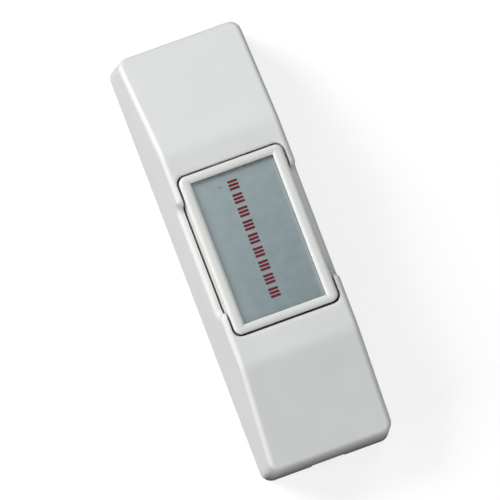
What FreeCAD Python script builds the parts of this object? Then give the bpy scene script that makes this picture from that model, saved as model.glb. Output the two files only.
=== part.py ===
import FreeCAD, Part
import math
import os

# Wall-mounted panic button with a narrow roof-shaped housing. All sizes are in millimetres.
# The back lies on Z = 0 and the button faces +Z. +Y runs along the housing to its upper end.

# Housing, outside
BODY_LENGTH = 88.0
BODY_WIDTH = 27.2
PLATEAU_HEIGHT = 18.0
END_HEIGHT = 10.6
PLATEAU_LENGTH = 44.6
PLATEAU_CENTRE_Y = -0.7
ROOF_BEND_RADIUS = 6.0
SIDE_DRAFT_DEG = 3.4
END_DRAFT_DEG = 1.0
CORNER_RADIUS = 2.3
EDGE_RADIUS = 1.15

# Housing, inside
WALL = 1.6
ROOF = 1.8

# Finger notch across the housing, beside the button
NOTCH_LENGTH = 22.8
NOTCH_DEPTH = 3.6
NOTCH_SHOULDER_RADIUS = 1.3
NOTCH_ROOT_RADIUS = 1.4

# Push button, as wide as the two shoulders of the plateau leave room for
BUTTON_LENGTH = 33.15
SHOULDER_WIDTH = 1.62
BUTTON_CORNER_RADIUS = 1.45
BUTTON_PROUD = 0.5
BUTTON_GAP = 0.42
WINDOW_END_ROLL = 0.9
WINDOW_SIDE_ROLL = 0.08
WINDOW_ROLL_DEPTH = 0.35
ROLL_FLATS = 5
BUTTON_TRAVEL = 1.8
RIM_SIDE_WIDTH = 2.2
RIM_END_WIDTH = 1.65
RIM_CROWN_RADIUS = 1.05
RIM_CROWN_CUT = 0.25
BUTTON_FLOOR = 1.2
SKIRT_WALL = 1.4
SKIRT_BELOW_NOTCH = 2.2
LIP_WIDTH = 8.0
LIP_REACH = 1.0
LIP_THICKNESS = 1.2
LIP_GAP = 0.05
LIP_GUIDE_THICKNESS = 1.0
LIP_GUIDE_DEPTH = 3.0

# Label plate in the button
PLATE_BELOW_RIM = 1.1
PLATE_THICKNESS = 0.6
PLATE_SIDE_GAP = 0.05
PLATE_EDGE_CHAMFER = 0.05
ADHESIVE_THICKNESS = 0.2
ADHESIVE_INSET = 0.6

# Base
BASE_THICKNESS = 2.0
BASE_RIM_HEIGHT = 2.5
BASE_RIM_WALL = 1.0
BASE_SIDE_GAP = 0.15
WALL_SCREW_SPACING = 74.0
WALL_SCREW_SLOT_WIDTH = 4.2
WALL_SCREW_SLOT_LENGTH = 6.4
SLOT_PAD_BORDER = 1.6
SLOT_PAD_HEIGHT = 0.6
CABLE_ENTRY_Y = -29.4
CABLE_ENTRY_DIAMETER = 6.0
KNOCKOUT_Y = 26.0
KNOCKOUT_SIZE = 8.0
KNOCKOUT_GROOVE_WIDTH = 0.8
KNOCKOUT_WEB = 0.6
RIB_THICKNESS = 1.0
RIB_HEIGHT = 1.6

# Catches between cover and base
CATCH_WIDTH = 4.0
CATCH_HEIGHT = 1.2
CATCH_REACH = 0.7
CATCH_LAND = 0.3
CATCH_GAP = 0.12
HOOK_SPREAD = 12.0
TONGUE_WIDTH = 7.0
TONGUE_SLIT = 0.8
TONGUE_HEIGHT = 5.0
PRY_SLOT_WIDTH = 7.0
PRY_SLOT_HEIGHT = 1.2

# Guide posts and return springs
POST_SPACING = 24.6
POST_RADIUS = 1.2
POST_CLEARANCE = 0.06
POST_TIP_HEIGHT = 5.0
POST_STOP_RADIUS = 1.9
STOP_CLEARANCE = 0.1
BOSS_WALL = 0.7
BOSS_HEIGHT = 7.0
BOSS_FLOOR = 0.4
SPRING_WIRE = 0.5
SPRING_BOSS_GAP = 0.14
SPRING_TURNS = 5
WIRE_FLATS = 5
LENGTHS_PER_TURN = 10
SPRING_END_GAP = 0.05

# Contact carrier, as wide as the base's rim leaves room for
CARRIER_SIDE_ROOM = 0.5
CARRIER_LOWER_END_Y = -25.6
CARRIER_UPPER_END_Y = 9.4
CARRIER_THICKNESS = 2.4
SPRING_HOLE_GAP = 0.3
BARRIER_CLEARANCE = 0.15
BARRIER_HEIGHT = 4.0
BARRIER_LENGTH = 7.6

# Brass strips and their terminals
STRIP_THICKNESS = 0.5
STRIP_WIDTH = 3.6
TERMINAL_COUNT = 3
TERMINAL_PAD_GAP = 1.2
TERMINAL_PAD_EXTRA_LENGTH = 0.8
TERMINAL_PAD_END_ROOM = 0.5
COMMON_SIDE_WALL = 1.1
COMMON_ROOT_END_Y = -5.3
COMMON_ROOT_WIDTH = 5.0
NC_RETURN_END_Y = 3.4
NO_STRIP_END_Y = 7.2
NC_LEG_Y = 8.6

# Moving leaf with its contacts
LEAF_THICKNESS = 0.2
LEAF_STEM_WIDTH = 3.6
LEAF_ROOT_END_Y = -8.6
LEAF_BEND_Y = -5.0
LEAF_RAMP_END_Y = 1.5
LEAF_BAR_WIDTH = 3.0
LEAF_BAR_CORNER_RADIUS = 0.8
LEAF_BAR_END_MARGIN = 1.7
LEAF_BEND_RADIUS = 1.0
CONTACT_Y = 5.2
CONTACT_RADIUS = 1.1
CONTACT_HEIGHT = 0.5
CONTACT_TRAVEL = 1.45
CLOSED_CONTACT_GAP = 0.05
PRESSED_CONTACT_GAP = 0.14
NOSE_RADIUS = 1.0
NOSE_PLAY = 0.12

# Fasteners
TERMINAL_SCREW_RADIUS = 1.25
TERMINAL_SCREW_HEAD_RADIUS = 2.2
TERMINAL_SCREW_HEAD_HEIGHT = 1.8
SCREW_TIP_ROOM = 0.1
SCREW_SLOT_WIDTH = 0.6
SCREW_SLOT_DEPTH = 0.7
SCREW_HEAD_GAP = 0.2
WASHER_SIZE = 4.8
WASHER_THICKNESS = 0.8
NUT_SIZE = 4.6
NUT_THICKNESS = 1.8
NUT_POCKET_GAP = 0.1
FASTENER_CLEARANCE = 0.06
CARRIER_SCREW_RADIUS = 0.9
CARRIER_SCREW_HEAD_RADIUS = 1.7
CARRIER_SCREW_HEAD_HEIGHT = 1.1
CARRIER_SCREW_TIP_HEIGHT = 0.6
CARRIER_SCREW_UPPER_Y = 1.6
SCREW_BOSS_SIZE = 3.2
SCREW_BOSS_HEIGHT = 1.3
RIVET_HEAD_RADIUS = 1.3
RIVET_HEAD_HEIGHT = 0.5
RIVET_SHANK_RADIUS = 0.75
RIVET_TAIL_RADIUS = 1.1
RIVET_TAIL_HEIGHT = 0.4
RIVET_TAIL_GAP = 0.1
LEAF_RIVET_Y = -6.9

# Lengths that follow from the sizes above
SIDE_TAPER = math.tan(math.radians(SIDE_DRAFT_DEG))
END_TAPER = math.tan(math.radians(END_DRAFT_DEG))
HALF_LENGTH = BODY_LENGTH / 2
HALF_WIDTH = BODY_WIDTH / 2
BEYOND = 5.0
MATCH = 0.01

PLATEAU_WIDTH = BODY_WIDTH - 2 * PLATEAU_HEIGHT * SIDE_TAPER
NOTCH_FLOOR = PLATEAU_HEIGHT - NOTCH_DEPTH
ROOF_UNDERSIDE = PLATEAU_HEIGHT - ROOF

BUTTON_WIDTH = PLATEAU_WIDTH - 2 * SHOULDER_WIDTH
RIM_TOP = PLATEAU_HEIGHT + BUTTON_PROUD
PLATE_TOP = RIM_TOP - PLATE_BELOW_RIM
PLATE_BOTTOM = PLATE_TOP - PLATE_THICKNESS
RECESS_FLOOR = PLATE_BOTTOM - ADHESIVE_THICKNESS
BUTTON_UNDERSIDE = RECESS_FLOOR - BUTTON_FLOOR
SKIRT_BOTTOM = NOTCH_FLOOR - SKIRT_BELOW_NOTCH
RECESS_LENGTH = BUTTON_LENGTH - 2 * RIM_END_WIDTH
RECESS_WIDTH = BUTTON_WIDTH - 2 * RIM_SIDE_WIDTH
WINDOW_LENGTH = BUTTON_LENGTH + 2 * BUTTON_GAP
WINDOW_WIDTH = BUTTON_WIDTH + 2 * BUTTON_GAP

BASE_RIM_TOP = BASE_THICKNESS + BASE_RIM_HEIGHT
BASE_HALF_WIDTH = HALF_WIDTH - BASE_RIM_TOP * SIDE_TAPER - WALL - BASE_SIDE_GAP
BASE_HALF_LENGTH = HALF_LENGTH - BASE_RIM_TOP * END_TAPER - WALL - BASE_SIDE_GAP

POST_Y = POST_SPACING / 2
BORE_RADIUS = POST_RADIUS + POST_CLEARANCE
BOSS_RADIUS = BORE_RADIUS + BOSS_WALL
BOSS_TOP = BASE_THICKNESS + BOSS_HEIGHT
SPRING_RADIUS = BOSS_RADIUS + SPRING_BOSS_GAP + SPRING_WIRE / 2
SPRING_OUTER_RADIUS = SPRING_RADIUS + SPRING_WIRE / 2
SPRING_HOLE_RADIUS = SPRING_OUTER_RADIUS + SPRING_HOLE_GAP

CARRIER_WIDTH = 2 * (BASE_HALF_WIDTH - BASE_RIM_WALL - CARRIER_SIDE_ROOM)
CARRIER_TOP = BASE_THICKNESS + CARRIER_THICKNESS
STRIP_TOP = CARRIER_TOP + STRIP_THICKNESS
LEAF_ROOT_TOP = STRIP_TOP + LEAF_THICKNESS
FIXED_HEAD_TOP = STRIP_TOP + CONTACT_HEIGHT
MOVING_HEAD_BOTTOM = FIXED_HEAD_TOP + PRESSED_CONTACT_GAP + CONTACT_TRAVEL
LEAF_BAR_BOTTOM = MOVING_HEAD_BOTTOM + CONTACT_HEIGHT
LEAF_BAR_TOP = LEAF_BAR_BOTTOM + LEAF_THICKNESS
NC_HEAD_BOTTOM = LEAF_BAR_TOP + CONTACT_HEIGHT + CLOSED_CONTACT_GAP
NC_RETURN_BOTTOM = NC_HEAD_BOTTOM + CONTACT_HEIGHT
NC_RETURN_TOP = NC_RETURN_BOTTOM + STRIP_THICKNESS
RIVET_CEILING = BASE_THICKNESS + RIVET_TAIL_HEIGHT + RIVET_TAIL_GAP
NOSE_TIP = LEAF_BAR_TOP + BUTTON_TRAVEL - CONTACT_TRAVEL + NOSE_PLAY

PAD_WIDTH = (CARRIER_WIDTH - (TERMINAL_COUNT - 1) * TERMINAL_PAD_GAP) / TERMINAL_COUNT
PAD_LENGTH = PAD_WIDTH + TERMINAL_PAD_EXTRA_LENGTH
TERMINAL_PITCH = PAD_WIDTH + TERMINAL_PAD_GAP
TERMINAL_Y = CARRIER_LOWER_END_Y + TERMINAL_PAD_END_ROOM + PAD_LENGTH / 2
TERMINAL_X = (-TERMINAL_PITCH, 0.0, TERMINAL_PITCH)
NC_X = -TERMINAL_PITCH
NO_X = TERMINAL_PITCH
NUT_BOTTOM = CARRIER_TOP - NUT_THICKNESS
CARRIER_SCREW_LOWER_Y = TERMINAL_Y + WASHER_SIZE / 2 + SCREW_HEAD_GAP + CARRIER_SCREW_HEAD_RADIUS


def vec(x, y, z):
    return FreeCAD.Vector(x, y, z)


def box(x0, x1, y0, y1, z0, z1):
    return Part.makeBox(x1 - x0, y1 - y0, z1 - z0, vec(x0, y0, z0))


def square_block(x, y, half, z0, z1):
    return box(x - half, x + half, y - half, y + half, z0, z1)


def cylinder(radius, x, y, z0, z1):
    return Part.makeCylinder(radius, z1 - z0, vec(x, y, z0))


def rounded_wire(points, radii):
    # A closed outline through the points, with an arc of the given radius at each of them.
    count = len(points)
    starts = []
    ends = []
    edges = []
    for i, (corner, radius) in enumerate(zip(points, radii)):
        back = (points[i - 1] - corner).normalize()
        ahead = (points[(i + 1) % count] - corner).normalize()
        half_angle = back.getAngle(ahead) / 2
        reach = radius / math.tan(half_angle)
        starts.append(corner + back * reach)
        ends.append(corner + ahead * reach)
        if radius > 0:
            middle = (back + ahead).normalize()
            crown = corner + middle * (radius / math.sin(half_angle) - radius)
            edges.append(Part.Arc(starts[i], crown, ends[i]).toShape())
    for i in range(count):
        if (ends[i] - starts[(i + 1) % count]).Length > MATCH:
            edges.append(Part.makeLine(ends[i], starts[(i + 1) % count]))
    return Part.Wire(Part.__sortEdges__(edges))


def rounded_rectangle(length, width, radius, z, centre_y=0.0):
    half_w = width / 2
    half_l = length / 2
    points = [
        vec(-half_w, centre_y - half_l, z),
        vec(half_w, centre_y - half_l, z),
        vec(half_w, centre_y + half_l, z),
        vec(-half_w, centre_y + half_l, z),
    ]
    return rounded_wire(points, [radius] * len(points))


def rounded_prism(length, width, radius, z0, z1, centre_y=0.0):
    outline = rounded_rectangle(length, width, radius, z0, centre_y)
    return Part.Face(outline).extrude(vec(0, 0, z1 - z0))


def slot_prism(length, width, y, z0, z1):
    straight = (length - width) / 2
    slot = cylinder(width / 2, 0, y - straight, z0, z1)
    slot = slot.fuse(cylinder(width / 2, 0, y + straight, z0, z1))
    slot = slot.fuse(box(-width / 2, width / 2, y - straight, y + straight, z0, z1))
    return slot.removeSplitter()


def side_prism(points, radii):
    # A side view outline, in (y, z), pushed through the whole width.
    outline = rounded_wire([vec(-BODY_WIDTH, y, z) for y, z in points], radii)
    return Part.Face(outline).extrude(vec(2 * BODY_WIDTH, 0, 0))


def end_prism(points):
    # An end view outline, in (x, z), pushed through the whole length.
    outline = rounded_wire([vec(x, -BODY_LENGTH, z) for x, z in points], [0] * len(points))
    return Part.Face(outline).extrude(vec(0, 2 * BODY_LENGTH, 0))


def leaning_outline(half, taper):
    # A slice through two opposite walls that lean towards each other.
    top = PLATEAU_HEIGHT + BEYOND
    half_top = half - top * taper
    return [(-half, 0), (half, 0), (half_top, top), (-half_top, top)]


def drafted_block(inset, radius):
    # The housing's four walls, leaning inwards, moved in by the inset and not yet roofed.
    ends = leaning_outline(HALF_LENGTH - inset, END_TAPER)
    block = side_prism(ends, [0] * len(ends))
    block = block.common(end_prism(leaning_outline(HALF_WIDTH - inset, SIDE_TAPER)))
    if radius == 0:
        return block
    corners = [edge for edge in block.Edges if edge.BoundBox.ZLength > PLATEAU_HEIGHT]
    return block.makeFillet(radius, corners)


def roof_prism(drop):
    # Everything below the roof line of slope, plateau and slope, lowered by the drop.
    plateau = PLATEAU_HEIGHT - drop
    bend_radius = ROOF_BEND_RADIUS - drop
    points = [(-HALF_LENGTH - BEYOND, -BEYOND), (HALF_LENGTH + BEYOND, -BEYOND)]
    radii = [0.0, 0.0]
    for side in (1, -1):
        bend = PLATEAU_CENTRE_Y + side * PLATEAU_LENGTH / 2
        run = HALF_LENGTH - side * bend
        fall = math.atan2(PLATEAU_HEIGHT - END_HEIGHT, run)
        bend_in = bend - side * drop * math.tan(fall / 2)
        far = side * (HALF_LENGTH + BEYOND)
        far_z = plateau - (side * (far - bend_in)) * math.tan(fall)
        pair = [(far, far_z), (bend_in, plateau)]
        pair_radii = [0.0, bend_radius]
        points += pair if side > 0 else pair[::-1]
        radii += pair_radii if side > 0 else pair_radii[::-1]
    return side_prism(points, radii)


def notch_prism():
    half = NOTCH_LENGTH / 2
    away = half + BEYOND
    above = PLATEAU_HEIGHT + BEYOND
    points = [
        (-away, PLATEAU_HEIGHT),
        (-half, PLATEAU_HEIGHT),
        (-half, NOTCH_FLOOR),
        (half, NOTCH_FLOOR),
        (half, PLATEAU_HEIGHT),
        (away, PLATEAU_HEIGHT),
        (away, above),
        (-away, above),
    ]
    shoulder = NOTCH_SHOULDER_RADIUS
    root = NOTCH_ROOT_RADIUS
    return side_prism(points, [0, shoulder, root, root, shoulder, 0, 0, 0])


def edge_middle(edge):
    return edge.valueAt((edge.FirstParameter + edge.LastParameter) / 2)


def upper_outline_edges(shape, walls):
    # The edges where the roof and the notch meet the four walls.
    edges = []
    for edge in shape.Edges:
        if edge.BoundBox.ZMin < END_HEIGHT / 2:
            continue
        points = [v.Point for v in edge.Vertexes] + [edge_middle(edge)]
        if all(walls.distToShape(Part.Vertex(p))[0] < MATCH for p in points):
            edges.append(edge)
    return edges


def housing_outside():
    block = drafted_block(0.0, CORNER_RADIUS)
    body = block.common(roof_prism(0.0)).cut(notch_prism())
    return body.makeFillet(EDGE_RADIUS, upper_outline_edges(body, Part.Shell(block.Faces)))


def catch_places():
    # Two hooks at the upper end and one snap tongue at the lower end: (x, end, z).
    hook_z = BASE_RIM_TOP - CATCH_HEIGHT
    tongue_z = BASE_THICKNESS + TONGUE_HEIGHT - 2 * CATCH_HEIGHT
    hooks = [(side * HOOK_SPREAD / 2, 1, hook_z) for side in (-1, 1)]
    return hooks + [(0.0, -1, tongue_z)]


def catch_wedge(place):
    # Flat below, where it holds the cover, and sloped above, where the cover slides over it.
    x, end, z = place
    inner = end * (BASE_HALF_LENGTH - BASE_RIM_WALL / 2)
    outer = end * (BASE_HALF_LENGTH + CATCH_REACH)
    outline = [(inner, z), (outer, z), (outer, z + CATCH_LAND), (inner, z + CATCH_HEIGHT)]
    points = [vec(x - CATCH_WIDTH / 2, y, pz) for y, pz in outline]
    return Part.Face(rounded_wire(points, [0] * len(points))).extrude(vec(CATCH_WIDTH, 0, 0))


def catch_pocket(place):
    x, end, z = place
    inner = end * (BASE_HALF_LENGTH - BASE_RIM_WALL)
    outer = end * (BASE_HALF_LENGTH + CATCH_REACH + CATCH_GAP)
    y0, y1 = sorted((inner, outer))
    half = CATCH_WIDTH / 2 + CATCH_GAP
    return box(x - half, x + half, y0, y1, z - CATCH_GAP, z + CATCH_HEIGHT + CATCH_GAP)


def window_prism():
    return rounded_prism(
        WINDOW_LENGTH,
        WINDOW_WIDTH,
        BUTTON_CORNER_RADIUS + BUTTON_GAP,
        SKIRT_BOTTOM - BUTTON_TRAVEL,
        PLATEAU_HEIGHT + BEYOND,
    )


def window_roll():
    # The cover rolls down into the window at its two ends, and only a little at its narrow sides.
    outlines = []
    for i in range(ROLL_FLATS + 1):
        angle = math.pi / 2 * i / ROLL_FLATS
        share = 1 - math.cos(angle)
        outlines.append(rounded_rectangle(
            WINDOW_LENGTH + 2 * WINDOW_END_ROLL * share,
            WINDOW_WIDTH + 2 * WINDOW_SIDE_ROLL * share,
            BUTTON_CORNER_RADIUS + BUTTON_GAP + WINDOW_SIDE_ROLL * share,
            PLATEAU_HEIGHT - WINDOW_ROLL_DEPTH * (1 - math.sin(angle)),
        ))
    return Part.makeLoft(outlines, True, True)


def lip_guides():
    # Two ribs under the plateau that keep the button's end lips in line.
    inner = BUTTON_LENGTH / 2 + LIP_REACH + BUTTON_GAP
    half = WINDOW_WIDTH / 2
    guides = []
    for side in (-1, 1):
        y0, y1 = sorted((side * inner, side * (inner + LIP_GUIDE_THICKNESS)))
        low = ROOF_UNDERSIDE - LIP_GUIDE_DEPTH
        guides.append(box(-half, half, y0, y1, low, ROOF_UNDERSIDE + ROOF / 2))
    return guides


def front_cover():
    cavity = drafted_block(WALL, 0).common(roof_prism(ROOF))
    cover = housing_outside().cut(cavity).cut(window_prism()).cut(window_roll())
    for place in catch_places():
        cover = cover.cut(catch_pocket(place))
    half = PRY_SLOT_WIDTH / 2
    pry_slot = box(-half, half, -HALF_LENGTH - BEYOND, -HALF_LENGTH + 2 * WALL, 0, PRY_SLOT_HEIGHT)
    cover = cover.cut(pry_slot)
    for guide in lip_guides():
        cover = cover.fuse(guide)
    return cover.removeSplitter()


def centred_box(half_width, half_length, z0, z1):
    return box(-half_width, half_width, -half_length, half_length, z0, z1)


def base_tray():
    # A flat bottom with a low rim all round, which slips inside the cover's walls.
    tray = centred_box(BASE_HALF_WIDTH, BASE_HALF_LENGTH, 0, BASE_RIM_TOP)
    inner_width = BASE_HALF_WIDTH - BASE_RIM_WALL
    inner_length = BASE_HALF_LENGTH - BASE_RIM_WALL
    return tray.cut(centred_box(inner_width, inner_length, BASE_THICKNESS, BASE_RIM_TOP))


def snap_tongue():
    half = TONGUE_WIDTH / 2
    inner = -BASE_HALF_LENGTH + BASE_RIM_WALL
    return box(-half, half, -BASE_HALF_LENGTH, inner, BASE_THICKNESS, BASE_THICKNESS + TONGUE_HEIGHT)


def tongue_slits():
    # They part the tongue from the rim beside it, so that it can spring back.
    slits = []
    for side in (-1, 1):
        x0, x1 = sorted((side * TONGUE_WIDTH / 2, side * (TONGUE_WIDTH / 2 + TONGUE_SLIT)))
        y0 = -BASE_HALF_LENGTH - BEYOND
        slits.append(box(x0, x1, y0, -BASE_HALF_LENGTH + BASE_RIM_WALL, BASE_THICKNESS, BASE_RIM_TOP))
    return slits


def knockout_groove():
    # A groove cut from inside leaves a thin web, so that a second cable hole can be pushed out.
    half = KNOCKOUT_SIZE / 2
    outer = square_block(0, KNOCKOUT_Y, half, KNOCKOUT_WEB, BASE_THICKNESS)
    inner = half - KNOCKOUT_GROOVE_WIDTH
    return outer.cut(square_block(0, KNOCKOUT_Y, inner, KNOCKOUT_WEB, BASE_THICKNESS))


def base_ribs():
    # Two low ribs stiffen the empty upper half, from the guide boss to the end of the base.
    ribs = []
    for side in (-1, 1):
        centre = side * (KNOCKOUT_SIZE / 2 + 2 * RIB_THICKNESS)
        y0 = CARRIER_UPPER_END_Y + RIB_THICKNESS
        y1 = BASE_HALF_LENGTH - BASE_RIM_WALL / 2
        half = RIB_THICKNESS / 2
        ribs.append(box(centre - half, centre + half, y0, y1, 0, BASE_THICKNESS + RIB_HEIGHT))
    return ribs


def base_plate():
    base = base_tray()
    for slit in tongue_slits():
        base = base.cut(slit)
    added = [snap_tongue()] + [catch_wedge(place) for place in catch_places()] + base_ribs()
    for side in (-1, 1):
        added.append(cylinder(BOSS_RADIUS, 0, side * POST_Y, BASE_THICKNESS / 2, BOSS_TOP))
        pad_x = WALL_SCREW_SLOT_WIDTH / 2 + SLOT_PAD_BORDER
        pad_y = WALL_SCREW_SLOT_LENGTH / 2 + SLOT_PAD_BORDER
        centre = side * WALL_SCREW_SPACING / 2
        added.append(box(-pad_x, pad_x, centre - pad_y, centre + pad_y, BASE_THICKNESS / 2,
                         BASE_THICKNESS + SLOT_PAD_HEIGHT))
    for y in (CARRIER_SCREW_LOWER_Y, CARRIER_SCREW_UPPER_Y):
        top = BASE_THICKNESS + SCREW_BOSS_HEIGHT
        added.append(square_block(0, y, SCREW_BOSS_SIZE / 2, BASE_THICKNESS / 2, top))
    for piece in added:
        base = base.fuse(piece)
    for side in (-1, 1):
        base = base.cut(cylinder(BORE_RADIUS, 0, side * POST_Y, BASE_THICKNESS + BOSS_FLOOR,
                                 BOSS_TOP))
        base = base.cut(slot_prism(WALL_SCREW_SLOT_LENGTH, WALL_SCREW_SLOT_WIDTH,
                                   side * WALL_SCREW_SPACING / 2, 0, BASE_RIM_TOP))
    pilot_radius = CARRIER_SCREW_RADIUS + FASTENER_CLEARANCE
    pilot_floor = CARRIER_SCREW_TIP_HEIGHT - FASTENER_CLEARANCE
    for y in (CARRIER_SCREW_LOWER_Y, CARRIER_SCREW_UPPER_Y):
        base = base.cut(cylinder(pilot_radius, 0, y, pilot_floor, BOSS_TOP))
    base = base.cut(cylinder(CABLE_ENTRY_DIAMETER / 2, 0, CABLE_ENTRY_Y, 0, BASE_RIM_TOP))
    return base.cut(knockout_groove()).removeSplitter()


def outline_edges_at(shape, z, half_length, half_width):
    # The closed loop of edges at height z that reaches the given half sizes.
    edges = []
    for edge in shape.Edges:
        bounds = edge.BoundBox
        level = abs(bounds.ZMin - z) < MATCH and bounds.ZLength < MATCH
        far_x = max(abs(bounds.XMin), abs(bounds.XMax))
        far_y = max(abs(bounds.YMin), abs(bounds.YMax))
        fits = far_x < half_width + MATCH and far_y < half_length + MATCH
        reaches = abs(far_x - half_width) < MATCH or abs(far_y - half_length) < MATCH
        if level and fits and reaches:
            edges.append(edge)
    return edges


def button_outline(extra):
    # The button without its recess, wider by the extra on every side.
    return rounded_prism(BUTTON_LENGTH + 2 * extra, BUTTON_WIDTH + 2 * extra,
                         BUTTON_CORNER_RADIUS + extra, SKIRT_BOTTOM, RIM_TOP)


def crowned_blank():
    # The rim is rounded while it is still too wide, then its steep sides are cut off. What is
    # left of it is a low crown between two crisp edges.
    half_l = RECESS_LENGTH / 2
    half_w = RECESS_WIDTH / 2
    blank = button_outline(RIM_CROWN_CUT)
    outer = outline_edges_at(blank, RIM_TOP, BUTTON_LENGTH / 2 + RIM_CROWN_CUT,
                             BUTTON_WIDTH / 2 + RIM_CROWN_CUT)
    blank = blank.makeFillet(RIM_CROWN_RADIUS, outer)
    inner_l = half_l - RIM_CROWN_CUT
    inner_w = half_w - RIM_CROWN_CUT
    blank = blank.cut(centred_box(inner_w, inner_l, RECESS_FLOOR, RIM_TOP))
    inner = outline_edges_at(blank, RIM_TOP, inner_l, inner_w)
    blank = blank.makeFillet(RIM_CROWN_RADIUS, inner).common(button_outline(0))
    return blank.cut(centred_box(half_w, half_l, RECESS_FLOOR, RIM_TOP))


def push_button():
    body = crowned_blank()
    hollow_w = BUTTON_WIDTH / 2 - SKIRT_WALL
    hollow_l = BUTTON_LENGTH / 2 - SKIRT_WALL
    body = body.cut(centred_box(hollow_w, hollow_l, SKIRT_BOTTOM, BUTTON_UNDERSIDE))
    inside = BUTTON_LENGTH / 2 - SKIRT_WALL / 2
    outside = BUTTON_LENGTH / 2 + LIP_REACH
    lip_top = ROOF_UNDERSIDE - LIP_GAP
    stop_bottom = BOSS_TOP + BUTTON_TRAVEL + STOP_CLEARANCE
    root = BUTTON_UNDERSIDE + BUTTON_FLOOR / 2
    for side in (-1, 1):
        y0, y1 = sorted((side * inside, side * outside))
        lip = box(-LIP_WIDTH / 2, LIP_WIDTH / 2, y0, y1, lip_top - LIP_THICKNESS, lip_top)
        body = body.fuse(lip)
        body = body.fuse(cylinder(POST_STOP_RADIUS, 0, side * POST_Y, stop_bottom, root))
        body = body.fuse(cylinder(POST_RADIUS, 0, side * POST_Y, POST_TIP_HEIGHT, root))
    body = body.fuse(cylinder(NOSE_RADIUS, 0, CONTACT_Y, NOSE_TIP, root))
    rib_bottom = SKIRT_BOTTOM + RIB_HEIGHT
    cross_rib = box(-hollow_w, hollow_w, CONTACT_Y - RIB_THICKNESS / 2,
                    CONTACT_Y + RIB_THICKNESS / 2, rib_bottom, root)
    return body.fuse(cross_rib).removeSplitter()


def label_plate():
    half_w = RECESS_WIDTH / 2 - PLATE_SIDE_GAP
    half_l = RECESS_LENGTH / 2 - PLATE_SIDE_GAP
    plate = centred_box(half_w, half_l, PLATE_BOTTOM, PLATE_TOP)
    return plate.makeChamfer(PLATE_EDGE_CHAMFER, outline_edges_at(plate, PLATE_TOP, half_l, half_w))


def plate_adhesive():
    half_w = RECESS_WIDTH / 2 - ADHESIVE_INSET
    half_l = RECESS_LENGTH / 2 - ADHESIVE_INSET
    return centred_box(half_w, half_l, RECESS_FLOOR, PLATE_BOTTOM)


def coil_point(turn, rise):
    angle = 2 * math.pi * turn
    return vec(SPRING_RADIUS * math.cos(angle), SPRING_RADIUS * math.sin(angle), rise * turn)


def wire_section(start, direction):
    # The wire's outline at the coil's first point, with its corners on the round wire.
    outwards = vec(start.x, start.y, 0).normalize()
    upwards = direction.cross(outwards).normalize()
    points = []
    for i in range(WIRE_FLATS + 1):
        turn = 2 * math.pi * i / WIRE_FLATS
        offset = outwards * math.cos(turn) + upwards * math.sin(turn)
        points.append(start + offset * (SPRING_WIRE / 2))
    return Part.makePolygon(points)


def return_spring(y):
    # An open coil, drawn in short straight lengths of wire, whose two ends are ground flat.
    low = BASE_THICKNESS + SPRING_END_GAP
    high = BUTTON_UNDERSIDE - SPRING_END_GAP
    height = high - low
    lengths = SPRING_TURNS * LENGTHS_PER_TURN
    path = [coil_point(i / LENGTHS_PER_TURN, height / SPRING_TURNS) for i in range(lengths + 1)]
    section = wire_section(path[0], path[1] - path[0])
    coil = Part.Wire(Part.makePolygon(path)).makePipeShell([section], True, False, 1)
    reach = SPRING_OUTER_RADIUS + SPRING_WIRE
    coil = coil.common(box(-reach, reach, -reach, reach, 0, height))
    coil.translate(vec(0, y, low))
    return coil


def contact_carrier():
    carrier = box(-CARRIER_WIDTH / 2, CARRIER_WIDTH / 2, CARRIER_LOWER_END_Y, CARRIER_UPPER_END_Y,
                  BASE_THICKNESS, CARRIER_TOP)
    for side in (-1, 1):
        centre = side * TERMINAL_PITCH / 2
        half = TERMINAL_PAD_GAP / 2 - BARRIER_CLEARANCE
        barrier_end = CARRIER_LOWER_END_Y + BARRIER_LENGTH
        carrier = carrier.fuse(box(centre - half, centre + half, CARRIER_LOWER_END_Y, barrier_end,
                                   CARRIER_TOP, CARRIER_TOP + BARRIER_HEIGHT))
    cuts = [cylinder(SPRING_HOLE_RADIUS, 0, -POST_Y, BASE_THICKNESS, CARRIER_TOP)]
    nut_room = NUT_SIZE / 2 + NUT_POCKET_GAP
    for x in TERMINAL_X:
        cuts.append(square_block(x, TERMINAL_Y, nut_room, NUT_BOTTOM, CARRIER_TOP))
    boss_room = SCREW_BOSS_SIZE / 2 + FASTENER_CLEARANCE
    boss_top = BASE_THICKNESS + SCREW_BOSS_HEIGHT
    for y in (CARRIER_SCREW_LOWER_Y, CARRIER_SCREW_UPPER_Y):
        cuts.append(square_block(0, y, boss_room, BASE_THICKNESS, boss_top))
        cuts.append(cylinder(CARRIER_SCREW_RADIUS + FASTENER_CLEARANCE, 0, y, BASE_THICKNESS,
                             CARRIER_TOP))
    cuts.append(cylinder(RIVET_SHANK_RADIUS + FASTENER_CLEARANCE, 0, LEAF_RIVET_Y, BASE_THICKNESS,
                         CARRIER_TOP))
    cuts.append(square_block(0, LEAF_RIVET_Y, RIVET_TAIL_RADIUS + FASTENER_CLEARANCE,
                             BASE_THICKNESS, RIVET_CEILING))
    for cut in cuts:
        carrier = carrier.cut(cut)
    return carrier.removeSplitter()


def terminal_pad(x):
    half_w = PAD_WIDTH / 2
    half_l = PAD_LENGTH / 2
    return box(x - half_w, x + half_w, TERMINAL_Y - half_l, TERMINAL_Y + half_l, CARRIER_TOP,
               STRIP_TOP)


def with_terminal_hole(strip, x):
    hole_radius = TERMINAL_SCREW_RADIUS + FASTENER_CLEARANCE
    hole = cylinder(hole_radius, x, TERMINAL_Y, CARRIER_TOP, STRIP_TOP)
    return strip.cut(hole).removeSplitter()


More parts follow.
